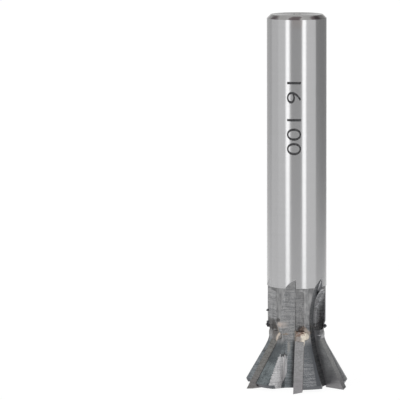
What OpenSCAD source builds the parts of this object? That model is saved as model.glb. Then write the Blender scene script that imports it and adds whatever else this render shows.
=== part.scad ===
// Straight-shank 60 degree dovetail cutter with brazed carbide tips.
// It stands on its six tip corners: the origin is on the axis, in the plane
// of the corners, and +Z runs up the shank. The front tooth faces -Y.
// The cutter turns clockwise as seen from the shank end.

/* [Overall] */
// Cutting diameter over the tip corners
cutter_d = 30; // [28:0.5:36]
// Length from the tip corners to the shank end
overall_l = 100; // [70:1:160]
// Angle of the cutting edges to the end plane
flank_angle = 60; // [55:1:65]
// Number of teeth
teeth = 6; // [4:1:6]

/* [Shank and neck] */
// Diameter of the ground shank
shank_d = 16; // [15.5:0.5:20]
// Height at which the ground shank starts
shank_from = 27.2; // [22:0.1:40]
// Chamfer at the shank end
shank_chamfer = 1; // [0.4:0.1:2]
// How far the rough neck lies under the ground shank, on the radius
neck_relief = 0.2; // [0.2:0.05:0.5]
// Diameter of the waist between shoulder and head
waist_d = 14.6; // [14:0.1:15]
// Fillet where the waist runs out into the head
waist_fillet_r = 8; // [7:0.5:10]
// Straight length of the waist, from the fillet to the neck's shoulder
waist_l = 0.7; // [0.4:0.1:3]

/* [Steel head] */
// Height of the steel end face above the tip corners
head_from = 0.8; // [0.5:0.05:1.2]
// How far the steel lies under the cutting edges, on the radius
head_inset = 0.4; // [0.3:0.05:0.8]
// Edge broken off round the steel end face
head_edge_break = 1; // [0.4:0.1:1.2]

/* [Gullets] */
// Diameter of the wheel that mills a gullet
wheel_d = 56; // [46:1:70]
// Height of the deepest point of a gullet
wheel_h = 18; // [17.5:0.5:18]
// Diameter of the core left at the deepest point
core_d = 10.8; // [10:0.1:12]
// Tilt of the wheel's path against the axis
path_tilt = 18; // [14:1:22]
// Width of the gullet's floor beside the cutting face
floor_w = 2.9; // [2:0.1:3.2]
// Rise of the gullet's floor over that width
floor_rise = 0.5; // [0.3:0.05:0.8]
// Angle of the gullet's back to the cutting face
back_angle = 60; // [55:1:70]

/* [Seats] */
// Diameter of the disc that mills a seat
disc_d = 25; // [22:1:32]
// Height of the deepest point of a seat, from where it runs out in the neck
disc_h = 17.8; // [16.5:0.1:19]

/* [Carbide tips] */
// Thickness of a tip
tip_t = 2.4; // [2:0.1:2.6]
// Length of the long cutting edge
edge_l = 15; // [13:0.1:15.2]
// How far a tip stands out of the steel cutting face
tip_proud = 0.3; // [0.1:0.05:0.5]
// How far a tip's inner edge is let into the gullet's floor
tip_sink = 0.3; // [0.1:0.05:0.6]
// Relief behind the long cutting edge
flank_relief = 10; // [6:1:16]
// Relief behind the end cutting edge
end_relief = 8; // [4:1:12]
// Rise of the end cutting edge towards the axis
end_dish = 2; // [1:0.5:3]
// Corner broken off behind the tip corner
corner_break = 0.3; // [0.2:0.1:1]

/* [Braze] */
// Thickness of the braze between tip and seat
braze_t = 0.12; // [0.05:0.01:0.2]
// How high the braze fills the seat above the end of a tip
fill_h = 2.4; // [1.6:0.1:2.8]
// Radius of the lump's surface over the end of a tip
lump_r = 2.6; // [2.2:0.1:3.2]
// How far the lump stands out over the end of a tip
lump_rise = 0.15; // [0.1:0.05:0.5]
// Height of the lump's middle above the end of a tip
lump_over = 1; // [0.6:0.1:1.4]

/* [Centre holes] */
// Pilot diameter of the centre holes
pilot_d = 1; // [0.8:0.1:2]
// Mouth diameter of the centre holes
mouth_d = 2.12; // [2.1:0.01:5]
// Depth of the pilot under the cone
pilot_l = 1.2; // [0.5:0.1:3]
// Included angle of the centre's cone
centre_angle = 60; // [60:30:90]

/* [Hidden] */
$fn = 96;

front_azimuth = -90;
cutter_r = cutter_d / 2;
shank_r = shank_d / 2;
neck_r = shank_r - neck_relief;
waist_r = waist_d / 2;
wheel_r = wheel_d / 2;
disc_r = disc_d / 2;
reach = cutter_d;

// Lines in the cutting face's plane, as points and directions [radius, height]
up = [0, 1];
edge_dir = [-cos(flank_angle), sin(flank_angle)];
edge_out = [sin(flank_angle), cos(flank_angle)];
dish_dir = [-cos(end_dish), sin(end_dish)];
path_dir = [sin(path_tilt), -cos(path_tilt)];
path_in = -[cos(path_tilt), sin(path_tilt)];

// Where the line through p along d crosses the line through q along e
function meet(p, d, q, e) = p + d * (cross(q - p, e) / cross(d, e));

// Tip before its reliefs are ground: its upper end and its inner edge, which is let into the
// floor, are final, and it has stock outside the two cutting edges
tip_corner = [cutter_r, 0];
tip_top = tip_corner + edge_l * edge_dir;
wheel_c = [core_d / 2 + wheel_r, wheel_h];
inner_edge = wheel_c + (wheel_r + tip_sink) * path_in;
stock_edge = tip_corner + tip_t * edge_out;
stock_foot = tip_corner - tip_t * up;
tip_blank = [
    meet(stock_edge, edge_dir, stock_foot, dish_dir),
    meet(stock_edge, edge_dir, tip_top, edge_out),
    meet(tip_top, edge_out, inner_edge, path_dir),
    meet(stock_foot, dish_dir, inner_edge, path_dir)
];

// Path of the disc that mills a seat, which leaves room for braze under the tip's inner edge
seat_w = tip_t + 2 * braze_t;
seat_inner = inner_edge + braze_t * path_in;
disc_c = meet(seat_inner - disc_r * path_in, path_dir, [0, disc_h], [1, 0]);
disc_path_l = (disc_h + reach) / cos(path_tilt);
disc_end = disc_c + disc_path_l * path_dir;

// Turned outline of the steel, with the fillet between waist and head
steel_edge = [cutter_r - head_inset, 0];
steel_foot = meet(steel_edge, edge_dir, [0, head_from], [1, 0]);
steel_top = meet(steel_edge, edge_dir, [waist_r, 0], up);
fillet_run = waist_fillet_r * tan((90 - flank_angle) / 2);
fillet_c = steel_top + fillet_run * up + [waist_fillet_r, 0];
shoulder_h = fillet_c.y + waist_l;
turned_outline = [
    [0, head_from],
    steel_foot - [head_edge_break, 0],
    steel_foot + head_edge_break * edge_dir,
    steel_top - fillet_run * edge_dir,
    steel_top + fillet_run * up,
    [waist_r, shoulder_h],
    [neck_r, shoulder_h],
    [neck_r, shank_from],
    [shank_r, shank_from],
    [shank_r, overall_l - shank_chamfer],
    [shank_r - shank_chamfer, overall_l],
    [0, overall_l]
];

// Section of the milling wheel: flat side, sloping floor, steeper back
back_run = cutter_r / sin(back_angle);
wheel_section = [
    [0, 0],
    [wheel_r, 0],
    [wheel_r - floor_rise, floor_w],
    [wheel_r - floor_rise - back_run * cos(back_angle), floor_w + back_run * sin(back_angle)],
    [0, floor_w + back_run * sin(back_angle)]
];
path_l = (wheel_h + reach) / cos(path_tilt);
path_end = wheel_c + path_l * path_dir;

// Slope of the break at the lower back edge of a tip
break_slope = 1.4;

// Turns a tooth's frame to tooth i: X radial in the cutting face, Y to the back of the tooth
module at_tooth(i) {
    rotate([0, 0, front_azimuth + (i - 1) * 360 / teeth]) children();
}

// Plate of an outline in the cutting face's plane, from y0 towards the back of the tooth
module plate(y0, thickness) {
    translate([0, y0 + thickness, 0]) rotate([90, 0, 0])
        linear_extrude(thickness) children();
}

// What a grinding wheel takes off: all outside a face that holds the cutting edge through p
// and leans back by angle; tilt is the turn from +Z to the face's outward side
module relief(p, tilt, angle) {
    translate([p.x, 0, p.y]) rotate([0, tilt, 0]) rotate([-angle, 0, 0])
        translate([-reach, -reach, 0]) cube([2 * reach, 2 * reach, reach]);
}

// Space that the wheel leaves: its path through the head and its run-out in the neck
module gullet() {
    translate([wheel_c.x, tip_proud, wheel_c.y]) rotate([90, 0, 0]) rotate([0, 0, path_tilt])
        rotate_extrude(angle = 180) polygon(wheel_section);
    translate([path_end.x, tip_proud, path_end.y]) rotate([0, -path_tilt, 0])
        rotate([0, 0, 180]) linear_extrude(path_l) polygon(wheel_section);
}

// Milled seat of a tip: a slot along the wheel's path that runs out in the neck
module seat() {
    plate(-braze_t, seat_w) {
        translate(disc_c) circle(disc_r);
        polygon([disc_c, disc_c + disc_r * path_in, disc_end + disc_r * path_in, disc_end]);
    }
}

// Shank, neck, waist and head as they leave the lathe
module turned() {
    rotate_extrude() difference() {
        polygon(turned_outline);
        translate(fillet_c) circle(waist_fillet_r);
    }
}

// Centre hole that opens upwards at the origin
module centre_hole() {
    cone_l = (mouth_d - pilot_d) / 2 / tan(centre_angle / 2);
    translate([0, 0, -cone_l]) cylinder(h = cone_l, d1 = pilot_d, d2 = mouth_d);
    translate([0, 0, -cone_l - pilot_l]) cylinder(h = cone_l + pilot_l, d = pilot_d);
}

module cutter_body() {
    color([0.62, 0.63, 0.65]) difference() {
        turned();
        for (i = [1 : teeth]) at_tooth(i) {
            gullet();
            seat();
        }
        translate([0, 0, overall_l]) centre_hole();
        translate([0, 0, head_from]) mirror([0, 0, 1]) centre_hole();
    }
}

// Wedge off the lower back edge of a tip
module back_break() {
    rise = [1, break_slope];
    low = [tip_t - corner_break, 0] - rise;
    high = [tip_t, corner_break * break_slope] + rise;
    rotate([90, 0, 90]) linear_extrude(reach) polygon([low, [high.x, low.y], high]);
}

module carbide_tip() {
    color([0.47, 0.46, 0.47]) difference() {
        plate(0, tip_t) polygon(tip_blank);
        relief(tip_corner, flank_angle, flank_relief);
        relief(tip_corner, 180 + end_dish, end_relief);
        back_break();
    }
}

// Two runs of braze that cover the upper end of a tip and the steel behind it
module lumps() {
    for (y = [tip_t / 2, tip_t + braze_t])
        rotate([0, 0, asin(y / tip_top.x)])
            translate([tip_top.x + lump_rise - lump_r, 0, tip_top.y + lump_over]) sphere(lump_r);
}

// Braze round a tip in its seat, with the lump over the tip's upper end
module braze_seam() {
    color([0.83, 0.74, 0.5]) difference() {
        union() {
            intersection() {
                seat();
                turned();
                cylinder(h = tip_top.y + fill_h, r = reach);
            }
            difference() {
                lumps();
                turned();
            }
        }
        plate(0, tip_t) polygon(tip_blank);
        gullet();
        rotate([0, 0, 360 / teeth]) gullet();
    }
}

cutter_body();
for (i = [1 : teeth]) {
    at_tooth(i) carbide_tip();
    at_tooth(i) braze_seam();
}
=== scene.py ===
"""Dresses a dovetail cutter: ground shank, milled neck, carbide tips, braze and a plain studio."""

from __future__ import annotations

import logging
import math
from dataclasses import dataclass, field
from enum import Enum

import bmesh
import bpy
from mathutils import Matrix, Vector, noise

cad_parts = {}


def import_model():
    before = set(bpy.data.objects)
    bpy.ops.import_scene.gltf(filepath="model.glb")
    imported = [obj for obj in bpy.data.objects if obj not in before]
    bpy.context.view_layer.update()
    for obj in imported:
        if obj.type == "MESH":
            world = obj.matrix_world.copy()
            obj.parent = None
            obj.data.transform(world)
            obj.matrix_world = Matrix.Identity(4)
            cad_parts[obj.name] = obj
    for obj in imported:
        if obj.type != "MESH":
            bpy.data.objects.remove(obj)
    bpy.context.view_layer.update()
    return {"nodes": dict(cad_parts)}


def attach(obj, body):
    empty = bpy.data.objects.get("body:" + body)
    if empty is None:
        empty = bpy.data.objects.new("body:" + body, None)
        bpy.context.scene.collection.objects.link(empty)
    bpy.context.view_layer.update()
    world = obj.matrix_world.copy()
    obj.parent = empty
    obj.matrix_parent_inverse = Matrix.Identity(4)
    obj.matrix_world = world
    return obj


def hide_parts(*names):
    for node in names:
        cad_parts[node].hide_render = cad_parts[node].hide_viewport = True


LOG = logging.getLogger("dovetail_cutter")
MM = 0.001
BODY = "root"
TEETH = 6
TOOTH_STEP = 2 * math.pi / TEETH
IMAGE_SIDE = 400

Colour = tuple[float, float, float]
Factors = tuple[float, float, float]
Span = tuple[float, float]
Socket = bpy.types.NodeSocket
Nodes = dict[str, bpy.types.Object]

# Sockets of the Mix node: its share with its two numbers or its two colours, and the mixed colour
MIX_NUMBERS = (0, 2, 3)
MIX_COLOURS = (0, 6, 7)
MIX_COLOUR_OUT = 2
# Turn that makes angles count from the front tooth and keeps them above zero
FRONT_TURN = 2.5 * math.pi
# Turn of the highlights' stretch from round the axis to along it
QUARTER_TURN = 0.25
# Middle of a grain's values, the span that holds most of them, and the same for the mean of two
GRAIN_MIDDLE = 0.5
GRAIN_SPAN = (0.3, 0.7)
MEAN_SPAN = (0.36, 0.64)
GRAIN_ROUGHNESS = 0.55
# How far a grain tears the edge of a spot, and the squared distances that the edge fades over
SPOT_TEAR = 3.0
SPOT_EDGE = (1.0, 0.1)

# Colours that several zones of the steel share
GROUND: Colour = (0.47, 0.47, 0.475)
# Dark scale colour; in the centre hole, on the floors by the tips and in the line over the bright lower backs
# it is painted shade
SCALE_AND_SHADE: Colour = (0.075, 0.07, 0.068)
# Pale pink of a painted sheen: the glint in the centre hole and the pale patch at the waist
PAINTED_SHEEN: Colour = (0.70, 0.60, 0.54)


class Slot(Enum):
    """Names of two material slots, which nothing in the script uses."""

    STEEL = "tool_steel"
    BRAZE = "braze"


class Op(Enum):
    """Operations of the Math node that the finishes use."""

    ADD = "ADD"
    SUB = "SUBTRACT"
    MUL = "MULTIPLY"
    MAX = "MAXIMUM"
    OVER = "GREATER_THAN"
    UNDER = "LESS_THAN"
    SINE = "SINE"
    TURN = "ARCTAN2"
    WRAP = "MODULO"
    ABS = "ABSOLUTE"


@dataclass(frozen=True)
class Grain:
    """Noise of a finish: grains per millimetre along each axis, and octaves."""

    factors: Factors
    octaves: float = 3.0


@dataclass(frozen=True)
class Band:
    """Values between which a mask is full, and the half width of its soft edges."""

    low: float
    high: float
    soft: float


@dataclass(frozen=True)
class Spot:
    """Upright oval on the front of the part: middle, half width, half height and share of its colour."""

    x: float
    z: float
    wide: float
    high: float
    share: float


class Graph:
    """A material's node tree, with short calls for the nodes that the finishes share."""

    def __init__(self, name: str) -> None:
        """Starts a material with one Principled shader.

        Args:
            name: Name of the material.
        """
        self.material = bpy.data.materials.new(name)
        self.material.use_nodes = True
        self.tree = self.material.node_tree
        self.shader = next(n for n in self.tree.nodes if n.type == "BSDF_PRINCIPLED")
        coords = self.tree.nodes.new("ShaderNodeTexCoord").outputs["Object"]
        self.mm = self.stretch(coords, (1 / MM, 1 / MM, 1 / MM))
        split = self.tree.nodes.new("ShaderNodeSeparateXYZ")
        self.feed(split.inputs[0], self.mm)
        self.x, self.y, self.z = split.outputs
        self.radius = self.length(self.stretch(self.mm, (1, 1, 0)))
        self.turn = self.math(Op.ADD, self.math(Op.TURN, self.y, self.x), FRONT_TURN)
        behind = self.math(Op.WRAP, self.turn, TOOTH_STEP)
        ahead = self.math(Op.SUB, TOOTH_STEP, behind)
        self.back_of_face = self.product(self.radius, self.math(Op.SINE, behind))
        self.front_of_face = self.product(self.radius, self.math(Op.SINE, ahead))

    def feed(self, socket: Socket, value: Socket | float | Colour) -> None:
        """Links a socket to another, or sets its value."""
        if isinstance(value, bpy.types.NodeSocket):
            self.tree.links.new(value, socket)
        elif isinstance(value, tuple) and socket.type == "RGBA":
            socket.default_value = (*value, 1.0)
        else:
            socket.default_value = value

    def math(self, op: Op, a: Socket | float, b: Socket | float = 0.0) -> Socket:
        """Adds a Math node."""
        node = self.tree.nodes.new("ShaderNodeMath")
        node.operation = op.value
        self.feed(node.inputs[0], a)
        self.feed(node.inputs[1], b)
        return node.outputs[0]

    def product(self, first: Socket, *others: Socket | float) -> Socket:
        """Multiplies masks and shares."""
        for other in others:
            first = self.math(Op.MUL, first, other)
        return first

    def stretch(self, vector: Socket, factors: Factors) -> Socket:
        """Multiplies a vector by one factor per axis."""
        node = self.tree.nodes.new("ShaderNodeVectorMath")
        node.operation = "MULTIPLY"
        self.feed(node.inputs[0], vector)
        node.inputs[1].default_value = factors
        return node.outputs[0]

    def length(self, vector: Socket) -> Socket:
        """Gives a vector's length."""
        node = self.tree.nodes.new("ShaderNodeVectorMath")
        node.operation = "LENGTH"
        self.feed(node.inputs[0], vector)
        return node.outputs["Value"]

    def ease(self, value: Socket, span: Span, results: Span = (0.0, 1.0)) -> Socket:
        """Maps a value smoothly from one range to another."""
        node = self.tree.nodes.new("ShaderNodeMapRange")
        node.interpolation_type = "SMOOTHSTEP"
        self.feed(node.inputs["Value"], value)
        node.inputs["From Min"].default_value, node.inputs["From Max"].default_value = span
        node.inputs["To Min"].default_value, node.inputs["To Max"].default_value = results
        return node.outputs["Result"]

    def step(self, value: Socket, at: float, soft: float) -> Socket:
        """Gives 1 past a value, or before it where the half width of the step is below zero."""
        return self.ease(value, (at - soft, at + soft))

    def band(self, value: Socket, band: Band) -> Socket:
        """Gives 1 between the two values of a band."""
        return self.product(self.step(value, band.low, band.soft), self.step(value, band.high, -band.soft))

    def grain(self, grain: Grain) -> Socket:
        """Adds noise on the object's coordinates."""
        node = self.tree.nodes.new("ShaderNodeTexNoise")
        self.feed(node.inputs["Vector"], self.stretch(self.mm, grain.factors))
        node.inputs["Scale"].default_value = 1.0
        node.inputs["Detail"].default_value = grain.octaves
        node.inputs["Roughness"].default_value = GRAIN_ROUGHNESS
        return node.outputs["Fac"]

    def uneven(self, value: Socket, grain: Socket, amount: float) -> Socket:
        """Shakes a value by a grain, whose whole range moves it by the amount."""
        return self.math(Op.ADD, value, self.product(self.math(Op.SUB, grain, GRAIN_MIDDLE), amount))

    def mix(self, share: Socket, a: Socket | Colour, b: Socket | Colour) -> Socket:
        """Mixes two colours by the share of the second."""
        node = self.tree.nodes.new("ShaderNodeMix")
        node.data_type = "RGBA"
        for socket, value in zip(MIX_COLOURS, (share, a, b)):
            self.feed(node.inputs[socket], value)
        return node.outputs[MIX_COLOUR_OUT]

    def blend(self, share: Socket, a: Socket | float, b: Socket | float) -> Socket:
        """Mixes two numbers by the share of the second."""
        node = self.tree.nodes.new("ShaderNodeMix")
        for socket, value in zip(MIX_NUMBERS, (share, a, b)):
            self.feed(node.inputs[socket], value)
        return node.outputs[0]

    def speckle(self, dark: Colour, light: Colour, one: Socket, two: Socket) -> Socket:
        """Mixes two colours by the mean of two grains."""
        mean = self.product(self.math(Op.ADD, one, two), 0.5)
        return self.mix(self.ease(mean, MEAN_SPAN), dark, light)

    def spot(self, spot: Spot, torn: Socket) -> Socket:
        """Gives a spot's share inside its oval on the front of the part."""
        across = self.product(self.math(Op.SUB, self.x, spot.x), 1 / spot.wide)
        along = self.product(self.math(Op.SUB, self.z, spot.z), 1 / spot.high)
        far = self.math(Op.ADD, self.product(across, across), self.product(along, along))
        inside = self.ease(self.uneven(far, torn, SPOT_TEAR), SPOT_EDGE)
        return self.product(inside, self.math(Op.UNDER, self.y, 0.0), spot.share)

    def coat(self, colour: Socket, roughness: Socket, metallic: float = 1.0) -> None:
        """Gives the shader its colour and surface."""
        self.feed(self.shader.inputs["Base Color"], colour)
        self.feed(self.shader.inputs["Roughness"], roughness)
        self.shader.inputs["Metallic"].default_value = metallic

    def relief(self, height: Socket, strength: float, depth: float) -> None:
        """Gives the shader a bump, whose depth is in millimetres."""
        node = self.tree.nodes.new("ShaderNodeBump")
        node.inputs["Strength"].default_value = strength
        node.inputs["Distance"].default_value = depth * MM
        self.feed(node.inputs["Height"], height)
        self.feed(self.shader.inputs["Normal"], node.outputs["Normal"])

    def ground_along_axis(self, amount: float) -> None:
        """Stretches highlights along the part's axis, as grinding rings do."""
        node = self.tree.nodes.new("ShaderNodeTangent")
        node.direction_type = "RADIAL"
        node.axis = "Z"
        self.feed(self.shader.inputs["Tangent"], node.outputs["Tangent"])
        self.shader.inputs["Anisotropic"].default_value = amount
        self.shader.inputs["Anisotropic Rotation"].default_value = QUARTER_TURN


# In the finishes, lengths are in millimetres, and a span says where a mask starts and where it is full


class SteelGraph(Graph):
    """Node tree of the steel, with the grains that its zones share."""

    def __init__(self, name: str) -> None:
        """Starts the material and adds the grains."""
        super().__init__(name)
        self.rings = self.grain(Grain((0.05, 0.05, 22.0), 2.0))
        self.streaks = self.grain(Grain((1.6, 1.6, 0.45), 4.0))
        self.blots = self.grain(Grain((0.55, 0.55, 0.4)))
        self.marks = self.grain(Grain((0.25, 0.25, 4.2), 2.0))
        self.fine = self.grain(Grain((3.4, 3.4, 3.4)))


@dataclass(frozen=True)
class ShankZone:
    """Ground shank with a reddened upper end, a stained chamfer and a turned end face."""

    ring_dim: float = 0.95
    reddened: Colour = (0.43, 0.395, 0.385)
    reddened_above: Span = (95.5, 98.5)
    reddened_across: Band = Band(-0.8, 2.0, 0.5)
    reddened_share: float = 0.6
    chamfer: Colour = (0.32, 0.315, 0.31)
    chamfer_from: Span = (98.95, 99.01)
    stain: Colour = (0.125, 0.105, 0.108)
    stain_waves: float = 8.0
    stain_grain: Grain = Grain((0.6, 0.6, 0.9), 2.0)
    stain_waver: float = 3.0
    stain_from: Span = (0.9, 2.1)
    stain_below: Span = (100.0, 99.65)
    end: Colour = (0.30, 0.298, 0.294)
    end_ring: Colour = (0.22, 0.218, 0.215)
    end_from: Span = (99.97, 99.99)
    end_feed: float = 12.0
    hole_r: Span = (1.15, 1.0)
    hole_glint: Span = (0.42, 0.28)

    def colour(self, g: SteelGraph) -> Socket:
        """Colours the shank from its lower end to its end face."""
        ring = tuple(c * self.ring_dim for c in GROUND)
        shank = g.mix(g.ease(g.rings, GRAIN_SPAN), GROUND, ring)
        reddened = g.product(g.ease(g.z, self.reddened_above), g.band(g.x, self.reddened_across))
        shank = g.mix(g.product(reddened, self.reddened_share), shank, self.reddened)
        return g.mix(g.ease(g.z, self.chamfer_from), shank, self.end_colour(g))

    def end_colour(self, g: Graph) -> Socket:
        """Colours the chamfer, and the end face with its centre hole, which is painted dark as shade round a
        painted glint.

        Args:
            g: Graph to add the nodes to.

        Returns:
            The colour.
        """
        waves = g.math(Op.SINE, g.math(Op.ADD, g.product(g.turn, self.stain_waves), 0.5 * math.pi))
        waves = g.math(Op.ADD, waves, g.product(g.grain(self.stain_grain), self.stain_waver))
        stain = g.product(g.ease(waves, self.stain_from), g.ease(g.z, self.stain_below))
        edge = g.mix(stain, self.chamfer, self.stain)
        rings = g.math(Op.SINE, g.product(g.radius, self.end_feed))
        face = g.mix(g.ease(rings, (-1.0, 1.0)), self.end_ring, self.end)
        # Centre hole: painted shade round a painted glint in its middle
        hole = g.mix(g.ease(g.math(Op.ABS, g.x), self.hole_glint), SCALE_AND_SHADE, PAINTED_SHEEN)
        face = g.mix(g.ease(g.radius, self.hole_r), face, hole)
        return g.mix(g.ease(g.z, self.end_from), edge, face)


@dataclass(frozen=True)
class PaintedLitFoot:
    """Bright metal at the front of the head, below a ragged edge: painted light on the faces towards the
    front.
    """

    light: Colour = (0.68, 0.675, 0.68)
    dark: Colour = (0.42, 0.42, 0.43)
    top: float = 8.9
    soft: float = 0.15
    tear: float = 3.0

    def height(self, g: SteelGraph) -> Socket:
        """Gives the height on the part, made ragged by the streaks."""
        return g.uneven(g.z, g.streaks, self.tear)

    def below(self, g: SteelGraph) -> Socket:
        """Gives 1 below the ragged edge."""
        return g.step(self.height(g), self.top, -self.soft)

    def colour(self, g: SteelGraph) -> Socket:
        """Gives the painted bright colour."""
        return g.speckle(self.dark, self.light, g.fine, g.marks)


@dataclass(frozen=True)
class LandZone:
    """Turned lands behind the tips: blued on the left teeth, darker towards their tops as painted shade, with
    a dark edge of painted shade and a bright foot of painted light in front.
    """

    pale_front: PaintedLitFoot = PaintedLitFoot()
    light: Colour = (0.27, 0.272, 0.282)
    dark: Colour = (0.105, 0.114, 0.122)
    teal_light: Colour = (0.28, 0.315, 0.325)
    teal_dark: Colour = (0.10, 0.118, 0.125)
    teal_left: Span = (-1.5, -3.5)
    teal_share: float = 0.9
    top: Colour = (0.117, 0.126, 0.134)
    top_above: Span = (5.5, 10.5)
    top_share: float = 0.75
    front: Span = (-5.0, -6.0)
    rim_shade: Colour = (0.11, 0.116, 0.125)
    rim_shade_across: Band = Band(6.5, 8.3, 0.15)
    rim_shade_slope: float = 0.2115
    rim_shade_tear: float = 0.5
    pale_front_edge: float = 7.33
    pale_front_slope: float = 0.33
    pale_front_tear: float = 0.8
    pale_front_soft: float = 0.06
    pale_front_left: Span = (0.0, -1.0)

    def colour(self, g: SteelGraph) -> Socket:
        """Colours the lands.

        Args:
            g: Graph to add the nodes to.

        Returns:
            The colour.
        """
        plain = g.speckle(self.dark, self.light, g.marks, g.fine)
        teal = g.speckle(self.teal_dark, self.teal_light, g.fine, g.blots)
        land = g.mix(g.product(g.ease(g.x, self.teal_left), self.teal_share), plain, teal)
        # Painted shade: the lands are darker towards their tops
        land = g.mix(g.product(g.ease(g.z, self.top_above), self.top_share), land, self.top)
        front = g.ease(g.y, self.front)
        # Painted shade: a dark edge along the front of each land, next to the gullet
        across = g.math(Op.ADD, g.x, g.product(g.z, self.rim_shade_slope))
        rim_shade = g.band(g.uneven(across, g.fine, self.rim_shade_tear), self.rim_shade_across)
        land = g.mix(g.product(rim_shade, front), land, self.rim_shade)
        # Painted light: a bright patch on the land just behind each tip, at the front
        limit = g.math(Op.SUB, self.pale_front_edge, g.product(g.z, self.pale_front_slope))
        limit = g.uneven(limit, g.fine, self.pale_front_tear)
        pale_front = g.step(g.math(Op.SUB, g.front_of_face, limit), 0.0, -self.pale_front_soft)
        pale_front = g.product(pale_front, front, self.pale_front.below(g), g.ease(g.x, self.pale_front_left))
        return g.mix(pale_front, land, self.pale_front.colour(g))


@dataclass(frozen=True)
class GulletZone:
    """Gullets: pale or blued run-outs and dark floors, with backs whose bright lower part is painted light,
    and more painted light and shade on the walls, floors and creases.
    """

    pale_front: PaintedLitFoot = PaintedLitFoot()
    run_light: Colour = (0.42, 0.42, 0.422)
    run_dark: Colour = (0.22, 0.222, 0.228)
    blued_light: Colour = (0.28, 0.286, 0.297)
    blued_dark: Colour = (0.12, 0.125, 0.133)
    wall_light: Colour = (0.80, 0.80, 0.81)
    wall_dark: Colour = (0.34, 0.345, 0.35)
    wall_deep_shade: Colour = (0.13, 0.133, 0.14)
    wall_heights: Span = (29.0, 20.0)
    wall_from: Span = (0.1, 0.9)
    wall_soft: float = 0.05
    wall_to: Span = (2.75, 2.65)
    wall_edge_highlight: Band = Band(0.0, 0.2, 0.04)
    run_right: Span = (2.6, 3.0)
    ground_left: Span = (-6.0, -6.4)
    ground_above: Span = (27.0, 27.2)
    floor_light: Colour = (0.27, 0.288, 0.30)
    floor_dark: Colour = (0.12, 0.136, 0.147)
    floor_shade_near_tip: Span = (1.3, 0.3)
    floor_shade_near_tip_share: float = 0.6
    floor_heights: Span = (5.4, 0.9)
    floor_to: Span = (2.05, 3.5)
    floor_tear: float = 0.5
    floor_soft: float = 0.06
    strip: Colour = (0.37, 0.36, 0.34)
    strip_across: Band = Band(1.3, 2.6, 0.25)
    strip_along: Band = Band(9.8, 13.0, 1.1)
    strip_grain: Span = (0.28, 0.44)
    strip_share: float = 0.85
    crease: Colour = (0.95, 0.94, 0.94)
    crease_line: Band = Band(2.6, 3.1, 0.08)
    crease_inside: Span = (2.6, 2.54)
    bright_front: Span = (-3.5, -5.5)
    notch_shadow_above: Span = (8.9, 9.1)
    notch_shadow_below: Span = (9.8, 9.1)
    notch_shadow_share: float = 0.7
    head_right: Span = (0.5, 2.5)
    head_below: Span = (13.8, 11.8)

    def colour(self, g: SteelGraph) -> Socket:
        """Colours the gullets."""
        blued = g.speckle(self.blued_dark, self.blued_light, g.marks, g.fine)
        head = g.mix(g.ease(g.x, self.head_right), self.head(g), blued)
        return g.mix(g.ease(g.z, self.head_below), self.run_out(g, blued), head)

    def run_out(self, g: SteelGraph, blued: Socket) -> Socket:
        """Colours the run-outs in the neck and the lower shank.

        Args:
            g: Graph to add the nodes to.
            blued: Colour of blued steel.

        Returns:
            The colour.
        """
        pale_front = g.speckle(self.run_dark, self.run_light, g.marks, g.fine)
        # Painted light and shade on the seat walls: their outer part is lightened, their deep part painted
        # dark, and a painted highlight runs along their edge
        wall = g.speckle(self.wall_dark, self.wall_light, g.marks, g.fine)
        inner = g.math(Op.SUB, g.back_of_face, g.ease(g.z, self.wall_heights, self.wall_from))
        right = g.mix(g.step(inner, 0.0, self.wall_soft), self.wall_deep_shade, wall)
        right = g.mix(g.ease(g.back_of_face, self.wall_to), blued, right)
        right = g.mix(g.band(inner, self.wall_edge_highlight), right, self.wall_light)
        run_out = g.mix(g.ease(g.x, self.run_right), pale_front, right)
        over_ground = g.product(g.ease(g.x, self.ground_left), g.ease(g.z, self.ground_above))
        return g.mix(over_ground, run_out, GROUND)

    def head(self, g: SteelGraph) -> Socket:
        """Colours the floors and the backs in the head.

        Args:
            g: Graph to add the nodes to.

        Returns:
            The colour.
        """
        floor = g.speckle(self.floor_dark, self.floor_light, g.marks, g.fine)
        # Painted shade: the floors darken next to the tips, which stand out from them
        tip_shade = g.product(g.ease(g.front_of_face, self.floor_shade_near_tip), self.floor_shade_near_tip_share)
        floor = g.mix(tip_shade, floor, SCALE_AND_SHADE)
        back = self.back(g, floor)
        along = g.band(self.pale_front.height(g), self.strip_along)
        strip = g.product(g.band(g.front_of_face, self.strip_across), along)
        strip = g.product(strip, g.ease(g.fine, self.strip_grain), self.strip_share)
        floor = g.mix(strip, floor, self.strip)
        limit = g.uneven(g.ease(g.z, self.floor_heights, self.floor_to), g.fine, self.floor_tear)
        return g.mix(g.step(g.math(Op.SUB, g.front_of_face, limit), 0.0, self.floor_soft), floor, back)

    def back(self, g: SteelGraph, floor: Socket) -> Socket:
        """Colours the backs: a bright lower part and a lightened strip by the crease, both painted light,
        under a dark line of painted shadow.

        Args:
            g: Graph to add the nodes to.
            floor: Colour of the floors.

        Returns:
            The colour.
        """
        bright = self.pale_front.colour(g)
        # Painted light: a near-white strip along the crease between floor and back
        bright = g.mix(g.band(g.front_of_face, self.crease_line), bright, self.crease)
        bright = g.mix(g.ease(g.front_of_face, self.crease_inside), bright, self.pale_front.dark)
        # Painted light: the backs are bright below the ragged edge, on the front gullets only
        pale_front = g.product(self.pale_front.below(g), g.ease(g.y, self.bright_front))
        back = g.mix(pale_front, floor, bright)
        # Painted shadow: a dark line along the ragged top of the bright part
        ragged = self.pale_front.height(g)
        notch_shadow = g.product(g.ease(ragged, self.notch_shadow_below), g.ease(ragged, self.notch_shadow_above), self.notch_shadow_share)
        return g.mix(notch_shadow, back, SCALE_AND_SHADE)


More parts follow.
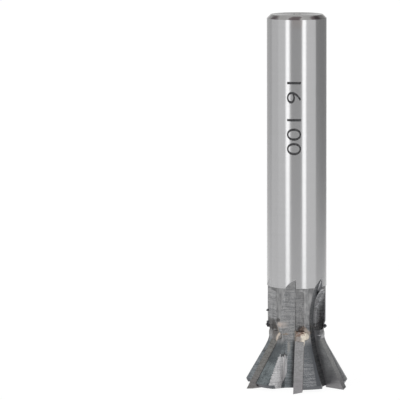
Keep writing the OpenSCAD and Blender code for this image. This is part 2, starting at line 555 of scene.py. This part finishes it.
@dataclass(frozen=True)
class HeatZone:
    """What the torch left round the joints: scale, straw tints and thin solder, with a pale pink patch of
    painted sheen.
    """

    straw: Colour = (0.33, 0.24, 0.16)
    heat_from: Span = (12.5, 14.0)
    heat_to: Span = (18.5, 16.0)
    clean_across: Band = Band(-3.6, 0.3, 0.4)
    clean_front: Span = (-2.0, -4.0)
    scale_grain: Span = (0.50, 0.60)
    scale_share: float = 0.8
    straw_grain: Span = (0.60, 0.72)
    straw_share: float = 0.7
    burnt: Spot = Spot(-6.6, 16.4, 2.0, 2.4, 0.65)
    scaled: Spot = Spot(-4.6, 18.5, 0.8, 0.7, 0.8)
    pale: Spot = Spot(-3.5, 17.2, 1.9, 1.0, 0.3)
    pale_heart: Spot = Spot(-4.1, 17.4, 0.8, 0.8, 0.6)
    yellowed: Spot = Spot(-2.6, 14.7, 1.1, 0.35, 0.5)
    copper: Colour = (0.19, 0.125, 0.10)
    solder: Colour = (0.40, 0.34, 0.29)
    creep_at: float = 2.3
    creep_aside: Span = (1.9, 0.1)
    creep_rise: Span = (0.0, 1.5)
    creep_tear: float = 2.2
    creep_top: Span = (15.4, 15.1)
    creep_foot: Span = (14.6, 14.8)
    creep_seat: Band = Band(0.5, 4.2, 0.1)
    creep_across: Band = Band(-1.5, 4.4, 0.1)
    creep_share: float = 0.75
    fleck_grain: Span = (0.47, 0.56)
    fleck_back: Span = (2.5, 3.1)

    def scorched(self, g: SteelGraph, colour: Socket) -> Socket:
        """Adds the scale, the straw tints and the pale patch of painted sheen.

        Args:
            g: Graph to add the nodes to.
            colour: Colour so far.

        Returns:
            The colour.
        """
        heat = g.product(g.ease(g.z, self.heat_from), g.ease(g.z, self.heat_to))
        clean = g.product(g.band(g.x, self.clean_across), g.ease(g.y, self.clean_front))
        heat = g.math(Op.SUB, heat, g.product(heat, clean))
        scale = g.product(heat, g.ease(g.blots, self.scale_grain), self.scale_share)
        colour = g.mix(scale, colour, SCALE_AND_SHADE)
        straw = g.product(heat, g.ease(g.streaks, self.straw_grain), self.straw_share)
        colour = g.mix(straw, colour, self.straw)
        colour = g.mix(g.spot(self.burnt, g.streaks), colour, SCALE_AND_SHADE)
        colour = g.mix(g.spot(self.scaled, g.fine), colour, SCALE_AND_SHADE)
        # Painted sheen with a pink heat tint: the pale patch at the waist
        colour = g.mix(g.spot(self.pale, g.fine), colour, PAINTED_SHEEN)
        colour = g.mix(g.spot(self.pale_heart, g.fine), colour, PAINTED_SHEEN)
        return g.mix(g.spot(self.yellowed, g.fine), colour, self.straw)

    def wetted(self, g: SteelGraph, colour: Socket) -> Socket:
        """Adds the thin solder that crept up the seats above the front joints.

        Args:
            g: Graph to add the nodes to.
            colour: Colour so far.

        Returns:
            The colour.
        """
        aside = g.math(Op.ABS, g.math(Op.SUB, g.back_of_face, self.creep_at))
        top = g.math(Op.SUB, g.z, g.ease(aside, self.creep_aside, self.creep_rise))
        top = g.uneven(top, g.fine, self.creep_tear)
        wet = g.product(g.ease(top, self.creep_top), g.ease(g.z, self.creep_foot))
        wet = g.product(wet, g.band(g.back_of_face, self.creep_seat), g.band(g.x, self.creep_across))
        flecks = g.mix(g.ease(g.fine, self.fleck_grain), self.copper, self.solder)
        flecks = g.mix(g.ease(g.back_of_face, self.fleck_back), flecks, self.solder)
        return g.mix(g.product(wet, self.creep_share), colour, flecks)


@dataclass(frozen=True)
class SteelFinish:
    """Steel of the body, put together from its zones."""

    shank: ShankZone = ShankZone()
    land: LandZone = LandZone()
    gullet: GulletZone = GulletZone()
    heat: HeatZone = HeatZone()
    neck_light: Colour = (0.39, 0.39, 0.39)
    neck_dark: Colour = (0.20, 0.20, 0.205)
    land_below: Span = (13.5, 11.5)
    foot: Colour = (0.15, 0.155, 0.165)
    foot_edge: float = 1.7
    foot_r: float = 12.5
    edge_soft: float = 0.05
    neck_from: float = 15.49
    ground_from: float = 27.2
    end_face: float = 0.86
    waist_r: float = 7.3
    neck_step: float = 0.5
    ground_step: float = 0.2
    cone_foot_r: float = 14.6
    cone_slope: float = 0.57735
    milled_under: Span = (0.03, 0.10)
    turned_rough: float = 0.50
    ground_rough: Span = (0.23, 0.26)
    milled_rough: Span = (0.36, 0.5)
    end_grazing: float = 0.72
    marks_height: float = 0.6
    rings_height: float = 0.05
    bump: float = 0.35
    bump_depth: float = 0.12
    highlight_stretch: float = 0.92

    def material(self) -> bpy.types.Material:
        """Builds the material.

        Returns:
            The material of the steel body.
        """
        g = SteelGraph("cutter_steel")
        ground = g.step(g.z, self.ground_from, self.edge_soft)
        milled = self.milled(g)
        neck = g.speckle(self.neck_dark, self.neck_light, g.streaks, g.blots)
        turned = g.mix(g.ease(g.z, self.land_below), neck, self.land.colour(g))
        turned = g.mix(ground, turned, self.shank.colour(g))
        colour = g.mix(milled, turned, self.gullet.colour(g))
        colour = self.heat.scorched(g, colour)
        colour = self.heat.wetted(g, colour)
        # Painted shade: a dark band along the bottom edge of the head
        foot = g.step(g.z, self.foot_edge, -self.edge_soft)
        foot = g.product(foot, g.math(Op.OVER, g.radius, self.foot_r))
        rough = g.blend(ground, self.turned_rough, g.ease(g.rings, GRAIN_SPAN, self.ground_rough))
        rough = g.blend(milled, rough, g.ease(g.streaks, GRAIN_SPAN, self.milled_rough))
        g.coat(g.mix(foot, colour, self.foot), rough)
        grazing = g.ease(g.z, self.shank.end_from, (1.0, self.end_grazing))
        g.feed(g.shader.inputs["Specular Tint"], grazing)
        worked = g.math(Op.ADD, g.streaks, g.product(g.marks, self.marks_height))
        height = g.blend(ground, worked, g.product(g.rings, self.rings_height))
        g.relief(height, self.bump, self.bump_depth)
        g.ground_along_axis(self.highlight_stretch)
        return g.material

    def milled(self, g: Graph) -> Socket:
        """Finds what lies under the turned outline: gullets and seats.

        Args:
            g: Graph to add the nodes to.

        Returns:
            1 on milled surfaces, 0 on turned and ground ones.
        """
        over_neck = g.product(g.math(Op.OVER, g.z, self.neck_from), self.neck_step)
        over_ground = g.product(g.math(Op.OVER, g.z, self.ground_from), self.ground_step)
        straight = g.math(Op.ADD, g.math(Op.ADD, over_neck, over_ground), self.waist_r)
        cone = g.math(Op.SUB, self.cone_foot_r, g.product(g.z, self.cone_slope))
        under = g.math(Op.SUB, g.math(Op.MAX, straight, cone), g.radius)
        between_ends = g.math(Op.UNDER, g.z, self.shank.chamfer_from[0])
        between_ends = g.product(between_ends, g.math(Op.OVER, g.z, self.end_face))
        return g.product(g.ease(under, self.milled_under), between_ends)


@dataclass(frozen=True)
class CarbideFinish:
    """Ground carbide: matt grey with a violet cast, smoked on the left, with a painted reflection lightening
    the right.
    """

    light: Colour = (0.305, 0.303, 0.306)
    dark: Colour = (0.205, 0.203, 0.205)
    wheel: Grain = Grain((0.5, 0.5, 5.0))
    specks: Grain = Grain((3.2, 3.2, 3.2), 2.0)
    smoked_light: Colour = (0.28, 0.276, 0.264)
    smoked_dark: Colour = (0.14, 0.137, 0.131)
    smoked_left: Span = (-3.0, -4.5)
    right_sheen_light: Colour = (0.53, 0.53, 0.528)
    right_sheen_dark: Colour = (0.36, 0.36, 0.359)
    right_sheen_right: Span = (8.3, 9.5)
    right_sheen_slope: float = 0.214
    right_sheen_above: Span = (-1.0, 6.5)
    violet: Colour = (0.20, 0.172, 0.197)
    violet_below: Span = (7.0, 2.0)
    violet_grain: Span = (0.46, 0.62)
    violet_share: float = 0.5
    rough: Span = (0.36, 0.46)
    bump: float = 0.18
    bump_depth: float = 0.05

    def material(self) -> bpy.types.Material:
        """Builds the material.

        Returns:
            The material of the tips.
        """
        g = Graph("ground_carbide")
        wheel = g.grain(self.wheel)
        specks = g.grain(self.specks)
        plain = g.speckle(self.dark, self.light, wheel, specks)
        smoked = g.speckle(self.smoked_dark, self.smoked_light, wheel, specks)
        right_sheen = g.speckle(self.right_sheen_dark, self.right_sheen_light, wheel, specks)
        colour = g.mix(g.ease(g.x, self.smoked_left), plain, smoked)
        # Painted reflection: the tips on the right are lighter towards the top
        across = g.math(Op.ADD, g.x, g.product(g.z, self.right_sheen_slope))
        right = g.product(g.ease(across, self.right_sheen_right), g.ease(g.z, self.right_sheen_above))
        colour = g.mix(right, colour, right_sheen)
        violet = g.product(g.ease(g.z, self.violet_below), g.ease(specks, self.violet_grain))
        colour = g.mix(g.product(violet, self.violet_share), colour, self.violet)
        g.coat(colour, g.ease(wheel, GRAIN_SPAN, self.rough))
        g.relief(g.math(Op.ADD, wheel, specks), self.bump, self.bump_depth)
        return g.material


@dataclass(frozen=True)
class BrazeFinish:
    """Silver solder: cream runs with copper-coloured edges and dark flux, duller on both sides."""

    cream: Colour = (0.66, 0.605, 0.515)
    beige: Colour = (0.33, 0.30, 0.283)
    cream_back: Span = (1.5, 2.1)
    runs: Grain = Grain((0.75, 0.75, 0.55))
    run_waver: float = 3.0
    copper: Colour = (0.25, 0.175, 0.14)
    copper_above: Span = (14.3, 14.9)
    copper_before: Span = (3.0, 2.3)
    copper_pits: Span = (0.40, 0.52)
    patches: Grain = Grain((0.9, 1.1, 0.8), 2.0)
    patch_waver: float = 4.0
    flux: Colour = (0.06, 0.05, 0.045)
    flux_pits: Span = (0.60, 0.70)
    pits: Grain = Grain((2.6, 2.6, 2.6))
    smoked: Colour = (0.165, 0.158, 0.155)
    smoked_left: Span = (-2.5, -3.6)
    tan: Colour = (0.50, 0.44, 0.385)
    tan_streak: Band = Band(2.5, 3.1, 0.2)
    tan_foot: float = 14.0
    tan_lean: float = 0.45
    slate: Colour = (0.30, 0.303, 0.312)
    slate_right: Span = (3.6, 4.6)
    side_share: float = 0.95
    tarnish: Colour = (0.115, 0.112, 0.113)
    tarnish_below: Span = (12.4, 11.2)
    rough_pits: Span = (0.35, 0.7)
    rough: Span = (0.28, 0.6)
    bump: float = 0.35
    bump_depth: float = 0.12

    def material(self) -> bpy.types.Material:
        """Builds the material.

        Returns:
            The material of the braze.
        """
        g = Graph("silver_solder")
        pits = g.grain(self.pits)
        behind = g.uneven(g.back_of_face, g.grain(self.runs), self.run_waver)
        colour = g.mix(g.ease(behind, self.cream_back), self.beige, self.cream)
        top = g.uneven(g.z, g.grain(self.patches), self.patch_waver)
        coppery = g.product(g.ease(top, self.copper_above), g.ease(pits, self.copper_pits))
        coppery = g.product(coppery, g.ease(g.back_of_face, self.copper_before))
        colour = g.mix(coppery, colour, self.copper)
        colour = g.mix(g.ease(pits, self.flux_pits), colour, self.flux)
        lean = g.product(g.math(Op.SUB, g.z, self.tan_foot), self.tan_lean)
        streak = g.band(g.math(Op.SUB, g.back_of_face, lean), self.tan_streak)
        left = g.product(g.ease(g.x, self.smoked_left), self.side_share)
        colour = g.mix(left, colour, g.mix(streak, self.smoked, self.tan))
        colour = g.mix(g.ease(g.z, self.tarnish_below), colour, self.tarnish)
        right = g.product(g.ease(g.x, self.slate_right), self.side_share)
        g.coat(g.mix(right, colour, self.slate), g.ease(pits, self.rough_pits, self.rough))
        g.relief(pits, self.bump, self.bump_depth)
        return g.material


@dataclass(frozen=True)
class MarkFinish:
    """Burnt-in marking on the shank."""

    dark: Colour = (0.035, 0.035, 0.037)
    faded: Colour = (0.10, 0.10, 0.105)
    wear: Grain = Grain((1.5, 1.5, 1.5))
    faded_wear: Span = (0.4, 0.7)
    rough: Span = (0.5, 0.65)
    metallic: float = 0.6

    def material(self) -> bpy.types.Material:
        """Builds the material."""
        g = Graph("burnt_marking")
        wear = g.grain(self.wear)
        colour = g.mix(g.ease(wear, self.faded_wear), self.dark, self.faded)
        g.coat(colour, g.ease(wear, GRAIN_SPAN, self.rough), self.metallic)
        return g.material


@dataclass(frozen=True)
class BurrFinish:
    """Torn, heat-blackened steel."""

    dark: Colour = (0.05, 0.05, 0.055)
    light: Colour = (0.20, 0.20, 0.21)
    torn: Grain = Grain((2.2, 2.2, 2.2))
    light_torn: Span = (0.42, 0.62)
    rough: Span = (0.4, 0.6)
    bump: float = 0.4
    bump_depth: float = 0.1

    def material(self) -> bpy.types.Material:
        """Builds the material."""
        g = Graph("burnt_burr")
        torn = g.grain(self.torn)
        colour = g.mix(g.ease(torn, self.light_torn), self.dark, self.light)
        g.coat(colour, g.ease(torn, GRAIN_SPAN, self.rough))
        g.relief(torn, self.bump, self.bump_depth)
        return g.material


def make_object(name: str, mesh: bmesh.types.BMesh, material: bpy.types.Material) -> bpy.types.Object:
    """Makes an object of a bmesh."""
    data = bpy.data.meshes.new(name)
    mesh.to_mesh(data)
    mesh.free()
    data.materials.append(material)
    made = bpy.data.objects.new(name, data)
    bpy.context.scene.collection.objects.link(made)
    return made


def add_piece(name: str, mesh: bmesh.types.BMesh, material: bpy.types.Material) -> bpy.types.Object:
    """Makes a piece of a bmesh and lets it ride on the part."""
    piece = make_object(name, mesh, material)
    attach(piece, BODY)
    LOG.info("piece %s: %d faces", name, len(piece.data.polygons))
    return piece


def dress(node: bpy.types.Object, material: bpy.types.Material) -> None:
    """Gives a solid its finish."""
    if not node.material_slots:
        node.data.materials.append(material)
    for slot in node.material_slots:
        slot.material = material
    LOG.info("dressed %s", node.name)


@dataclass
class CutterBody:
    """The steel body."""

    finish: SteelFinish = field(default_factory=SteelFinish)

    def dress(self, nodes: Nodes) -> None:
        """Dresses the steel body."""
        dress(nodes["cutter_body"], self.finish.material())


@dataclass
class CarbideTips:
    """The six carbide tips."""

    finish: CarbideFinish = field(default_factory=CarbideFinish)

    def dress(self, nodes: Nodes) -> None:
        """Dresses the tips."""
        material = self.finish.material()
        for i in range(1, TEETH + 1):
            dress(nodes[f"carbide_tip_{i}"], material)


@dataclass
class BrazeSeams:
    """The six braze joints, whose free runs are uneven."""

    finish: BrazeFinish = field(default_factory=BrazeFinish)
    weld: float = 0.002
    free_r: float = 7.36
    free_from: float = 12.4
    fade: float = 0.25
    swell: float = 0.16
    grain: float = 0.9
    shift: Factors = (7.3, 3.1, 1.7)
    longest_edge: float = 0.45
    most_splits: int = 3

    def build(self, nodes: Nodes) -> None:
        """Builds the uneven runs from the plain solids.

        Args:
            nodes: Solids by name.
        """
        material = self.finish.material()
        for i in range(1, TEETH + 1):
            name = f"braze_seam_{i}"
            mesh = bmesh.new()
            mesh.from_mesh(nodes[name].data)
            bmesh.ops.remove_doubles(mesh, verts=mesh.verts, dist=self.weld * MM)
            self.refine(mesh)
            self.roughen(mesh, i)
            piece = add_piece(f"braze_run_{i}", mesh, material)
            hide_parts(name)

    def refine(self, mesh: bmesh.types.BMesh) -> None:
        """Splits the long edges of the free runs."""
        for _ in range(self.most_splits):
            long = [e for e in mesh.edges if e.calc_length() > self.longest_edge * MM
                    and all(self.is_free(v.co) for v in e.verts)]
            if not long:
                return
            bmesh.ops.subdivide_edges(mesh, edges=long, cuts=1, use_grid_fill=True)
            bmesh.ops.triangulate(mesh, faces=[f for f in mesh.faces if len(f.verts) > 4])

    def is_free(self, point: Vector) -> bool:
        """Tells whether a point lies on the free surface of a run."""
        return math.hypot(point.x, point.y) > self.free_r * MM and point.z > self.free_from * MM

    def roughen(self, mesh: bmesh.types.BMesh, seed: int) -> None:
        """Moves the free surface in and out."""
        shift = Vector([step * seed for step in self.shift])
        for v in mesh.verts:
            if self.is_free(v.co):
                out = Vector((v.co.x, v.co.y, 0)).normalized()
                over = min(1.0, (math.hypot(v.co.x, v.co.y) / MM - self.free_r) / self.fade)
                v.co += out * self.swell * MM * over * noise.noise(v.co / MM * self.grain + shift)


@dataclass
class SizeMark:
    """Plain numbers burnt into the front of the shank, read from the shank's end downwards."""

    finish: MarkFinish = field(default_factory=MarkFinish)
    words: str = "16 100"
    top: float = 82.6
    bottom: float = 63.1
    height: float = 3.8
    azimuth: float = -1.6
    shank_r: float = 8.0
    lift: float = 0.012
    depth: float = 0.05
    thinning: float = -0.008
    resolution: int = 6
    weld: float = 1e-5
    slices: int = 12

    def build(self) -> None:
        """Builds the numbers as a thin mesh that follows the shank."""
        curve = bpy.data.curves.new("size_mark_outline", "FONT")
        curve.body = self.words
        curve.size = 1.0
        curve.resolution_u = self.resolution
        curve.offset = self.thinning
        holder = bpy.data.objects.new("size_mark_outline", curve)
        bpy.context.scene.collection.objects.link(holder)
        bpy.context.view_layer.update()
        flat = bpy.data.meshes.new_from_object(holder.evaluated_get(bpy.context.evaluated_depsgraph_get()))
        mesh = bmesh.new()
        mesh.from_mesh(flat)
        bpy.data.objects.remove(holder)
        bpy.data.curves.remove(curve)
        bpy.data.meshes.remove(flat)
        bmesh.ops.remove_doubles(mesh, verts=mesh.verts, dist=self.weld)
        self.slice(mesh)
        self.wrap(mesh)
        self.thicken(mesh)
        add_piece("size_mark", mesh, self.finish.material())

    def slice(self, mesh: bmesh.types.BMesh) -> None:
        """Cuts the flat numbers across their height, so that they can bend."""
        low = min(v.co.y for v in mesh.verts)
        high = max(v.co.y for v in mesh.verts)
        for k in range(1, self.slices):
            bmesh.ops.bisect_plane(mesh, geom=mesh.verts[:] + mesh.edges[:] + mesh.faces[:],
                                   plane_co=(0, low + (high - low) * k / self.slices, 0), plane_no=(0, 1, 0))

    def wrap(self, mesh: bmesh.types.BMesh) -> None:
        """Lays the numbers round the shank, with their tops to the right.

        Args:
            mesh: Flat numbers.
        """
        xs = [v.co.x for v in mesh.verts]
        ys = [v.co.y for v in mesh.verts]
        along = (self.top - self.bottom) / (max(xs) - min(xs))
        across = self.height / (max(ys) - min(ys))
        middle = (max(ys) + min(ys)) / 2
        radius = self.shank_r - self.depth
        for v in mesh.verts:
            angle = math.radians(self.azimuth) + (v.co.y - middle) * across / self.shank_r
            z = self.top - (v.co.x - min(xs)) * along
            v.co = Vector((radius * math.sin(angle), -radius * math.cos(angle), z)) * MM

    def thicken(self, mesh: bmesh.types.BMesh) -> None:
        """Makes the sheet a closed solid that is let into the shank and stands out by the lift.

        Args:
            mesh: Numbers on the depth that they are let in by.
        """
        mesh.normal_update()
        sheet = mesh.faces[:]
        inward = [f for f in sheet if f.normal.dot(f.calc_center_median() * Vector((1, 1, 0))) < 0]
        bmesh.ops.reverse_faces(mesh, faces=inward)
        made = bmesh.ops.extrude_face_region(mesh, geom=sheet, use_keep_orig=True)["geom"]
        spread = (self.shank_r + self.lift) / (self.shank_r - self.depth)
        outer = [v for v in made if isinstance(v, bmesh.types.BMVert)]
        bmesh.ops.scale(mesh, vec=(spread, spread, 1), verts=outer)


@dataclass(frozen=True)
class Burr:
    """One burr: distance of its middle from the axis, azimuth in degrees, height, and its own radius."""

    radius: float
    azimuth: float
    height: float
    size: float


@dataclass
class Burrs:
    """Burrs that the gullet wheel and the heat left on the neck's edges."""

    finish: BurrFinish = field(default_factory=BurrFinish)
    places: tuple[Burr, ...] = (
        Burr(7.85, -90.0, 20.2, 0.32),
        Burr(7.70, -92.0, 17.0, 0.40),
        Burr(7.70, -92.0, 16.2, 0.52),
        Burr(7.60, 88.5, 16.1, 0.46),
    )
    subdivisions: int = 3
    tear: float = 0.75
    grain: float = 3.6
    shift: Factors = (4.1, 2.7, 9.3)

    def build(self) -> None:
        """Builds the burrs as small torn lumps that sit in the neck's surface."""
        mesh = bmesh.new()
        for k, burr in enumerate(self.places):
            made = bmesh.ops.create_icosphere(mesh, subdivisions=self.subdivisions, radius=burr.size * MM)
            angle = math.radians(burr.azimuth)
            centre = Vector((burr.radius * math.sin(angle), -burr.radius * math.cos(angle), burr.height)) * MM
            shift = Vector((self.shift[0] * k, self.shift[1], self.shift[2]))
            for v in made["verts"]:
                v.co *= 1.0 + self.tear * noise.noise(v.co / MM * self.grain + shift)
                v.co += centre
        add_piece("neck_burrs", mesh, self.finish.material())


@dataclass(frozen=True)
class Panel:
    """A flat upright panel round the part: a lamp or a dark card."""

    name: str
    azimuth: float
    distance: float
    width: float
    low: float
    high: float
    level: float

    def place(self, view_azimuth: float) -> Matrix:
        """Gives the panel's place, turned to the part."""
        angle = math.radians(self.azimuth + view_azimuth)
        out = Vector((math.sin(angle), -math.cos(angle), 0))
        spot = out * self.distance + Vector((0, 0, (self.low + self.high) / 2))
        return Matrix.Translation(spot) @ out.to_track_quat("Z", "Y").to_matrix().to_4x4()


@dataclass
class Studio:
    """White floor and background, two strip lamps and the dark cards between them."""

    view_azimuth: float
    lamps: tuple[Panel, ...] = (
        Panel("strip_lamp_left", -35.0, 0.13, 0.032, 0.0, 0.40, 1.25),
        Panel("strip_lamp_right", 28.5, 0.13, 0.032, 0.0, 0.40, 1.25),
    )
    cards: tuple[Panel, ...] = (
        Panel("card_front", -2.0, 0.20, 0.15, 0.0, 0.30, 0.55),
        Panel("card_right", 119.0, 0.24, 0.417, 0.0, 0.40, 0.36),
        Panel("card_left", -135.0, 0.30, 0.28, 0.0, 0.40, 0.66),
        Panel("card_far_left", -92.0, 0.32, 0.20, 0.0, 0.40, 0.86),
    )
    fill_level: float = 0.75
    background_level: float = 1.0
    floor_half: float = 3.0
    floor_grey: Colour = (0.9, 0.9, 0.9)
    floor_rough: float = 0.9
    floor_glow: float = 1.05
    floor_glow_share: float = 0.90

    def build(self) -> None:
        """Builds the floor, the world, the lamps and the cards."""
        self.world()
        self.floor()
        for lamp in self.lamps:
            self.lamp(lamp)
        for card in self.cards:
            self.card(card)

    @staticmethod
    def seen(tree: bpy.types.NodeTree) -> Socket:
        """Gives 1 to rays that show the background: camera, glossy and transmission rays.

        Args:
            tree: Node tree to add the nodes to.

        Returns:
            The share.
        """
        path = tree.nodes.new("ShaderNodeLightPath")
        total = path.outputs["Is Camera Ray"]
        for name in ("Is Glossy Ray", "Is Transmission Ray"):
            node = tree.nodes.new("ShaderNodeMath")
            node.operation = "MAXIMUM"
            tree.links.new(total, node.inputs[0])
            tree.links.new(path.outputs[name], node.inputs[1])
            total = node.outputs[0]
        return total

    def world(self) -> None:
        """Sets a white background and a plain level of light."""
        world = bpy.data.worlds.new("studio")
        bpy.context.scene.world = world
        world.use_nodes = True
        tree = world.node_tree
        background = next(n for n in tree.nodes if n.type == "BACKGROUND")
        background.inputs["Color"].default_value = (1, 1, 1, 1)
        level = tree.nodes.new("ShaderNodeMapRange")
        level.inputs["To Min"].default_value = self.fill_level
        level.inputs["To Max"].default_value = self.background_level
        tree.links.new(self.seen(tree), level.inputs["Value"])
        tree.links.new(level.outputs["Result"], background.inputs["Strength"])

    def floor(self) -> None:
        """Builds the floor, which stays white, keeps a faint shadow and is clear from below."""
        mesh = bmesh.new()
        bmesh.ops.create_grid(mesh, x_segments=4, y_segments=4, size=self.floor_half)
        floor = make_object("floor", mesh, self.floor_material())

    def floor_material(self) -> bpy.types.Material:
        """Builds the floor's material.

        Returns:
            White that glows to the rays that see it, and is clear on its lower side.
        """
        material = bpy.data.materials.new("white_floor")
        material.use_nodes = True
        tree = material.node_tree
        shader = next(n for n in tree.nodes if n.type == "BSDF_PRINCIPLED")
        shader.inputs["Base Color"].default_value = (*self.floor_grey, 1)
        shader.inputs["Roughness"].default_value = self.floor_rough
        glow = tree.nodes.new("ShaderNodeEmission")
        glow.inputs["Strength"].default_value = self.floor_glow
        share = tree.nodes.new("ShaderNodeMath")
        share.operation = "MULTIPLY"
        share.inputs[1].default_value = self.floor_glow_share
        tree.links.new(self.seen(tree), share.inputs[0])
        mixed = tree.nodes.new("ShaderNodeMixShader")
        tree.links.new(share.outputs[0], mixed.inputs[0])
        tree.links.new(shader.outputs[0], mixed.inputs[1])
        tree.links.new(glow.outputs[0], mixed.inputs[2])
        one_sided = tree.nodes.new("ShaderNodeMixShader")
        below = tree.nodes.new("ShaderNodeNewGeometry").outputs["Backfacing"]
        tree.links.new(below, one_sided.inputs[0])
        tree.links.new(mixed.outputs[0], one_sided.inputs[1])
        tree.links.new(tree.nodes.new("ShaderNodeBsdfTransparent").outputs[0], one_sided.inputs[2])
        output = next(n for n in tree.nodes if n.type == "OUTPUT_MATERIAL")
        tree.links.new(one_sided.outputs[0], output.inputs["Surface"])
        return material

    def lamp(self, panel: Panel) -> None:
        """Hangs one strip lamp.

        Args:
            panel: Place, size and brightness of the lamp.
        """
        light = bpy.data.lights.new(panel.name, "AREA")
        light.shape = "RECTANGLE"
        light.size = panel.width
        light.size_y = panel.high - panel.low
        light.energy = panel.level * math.pi * light.size * light.size_y
        lamp = bpy.data.objects.new(panel.name, light)
        lamp.matrix_world = panel.place(self.view_azimuth)
        lamp.visible_camera = False
        bpy.context.scene.collection.objects.link(lamp)

    def card(self, panel: Panel) -> None:
        """Stands up one grey card, which only reflections show.

        Args:
            panel: Place, size and level of the card.
        """
        mesh = bmesh.new()
        bmesh.ops.create_grid(mesh, x_segments=1, y_segments=1, size=0.5)
        size = Matrix.Diagonal((panel.width, panel.high - panel.low, 1, 1))
        bmesh.ops.transform(mesh, matrix=panel.place(self.view_azimuth) @ size, verts=mesh.verts)
        material = bpy.data.materials.new(panel.name)
        material.use_nodes = True
        tree = material.node_tree
        glow = tree.nodes.new("ShaderNodeEmission")
        glow.inputs["Strength"].default_value = panel.level
        output = next(n for n in tree.nodes if n.type == "OUTPUT_MATERIAL")
        tree.links.new(glow.outputs[0], output.inputs["Surface"])
        card = make_object(panel.name, mesh, material)
        card.visible_camera = False
        card.visible_shadow = False


@dataclass
class PhotoCamera:
    """Camera with a long lens that looks past the part, so that the part stands right of the middle."""

    azimuth: float = 3.65
    elevation: float = 7.26
    distance: float = 0.9176
    aim_height: float = 0.050
    focal_px: float = 3421.8
    aim_px: tuple[float, float] = (296.72, 200.44)
    sensor_mm: float = 36.0
    clip: Span = (0.05, 20.0)

    def place(self) -> None:
        """Makes the camera and makes it the scene's own."""
        data = bpy.data.cameras.new("photo_camera")
        data.sensor_width = self.sensor_mm
        data.lens = self.focal_px / IMAGE_SIDE * self.sensor_mm
        data.clip_start, data.clip_end = self.clip
        camera = bpy.data.objects.new("photo_camera", data)
        angle = math.radians(self.azimuth)
        lift = math.radians(self.elevation)
        out = Vector((math.sin(angle) * math.cos(lift), -math.cos(angle) * math.cos(lift), math.sin(lift)))
        spot = Vector((0, 0, self.aim_height)) + out * self.distance
        look = out.to_track_quat("Z", "Y").to_matrix().to_4x4()
        aside = math.atan((self.aim_px[0] - IMAGE_SIDE / 2) / self.focal_px)
        down = math.atan((self.aim_px[1] - IMAGE_SIDE / 2) / self.focal_px)
        turn = Matrix.Rotation(aside, 4, "Y") @ Matrix.Rotation(down, 4, "X")
        camera.matrix_world = Matrix.Translation(spot) @ look @ turn
        bpy.context.scene.collection.objects.link(camera)
        bpy.context.scene.camera = camera


def main() -> None:
    """Loads the solids, dresses them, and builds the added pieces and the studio."""
    logging.basicConfig(level=logging.INFO, format="%(name)s: %(message)s")
    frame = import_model()
    bpy.context.scene.view_settings.view_transform = "Standard"
    camera = PhotoCamera()
    camera.place()
    CutterBody().dress(frame["nodes"])
    CarbideTips().dress(frame["nodes"])
    BrazeSeams().build(frame["nodes"])
    SizeMark().build()
    Burrs().build()
    Studio(camera.azimuth).build()


if __name__ == "__main__":
    main()
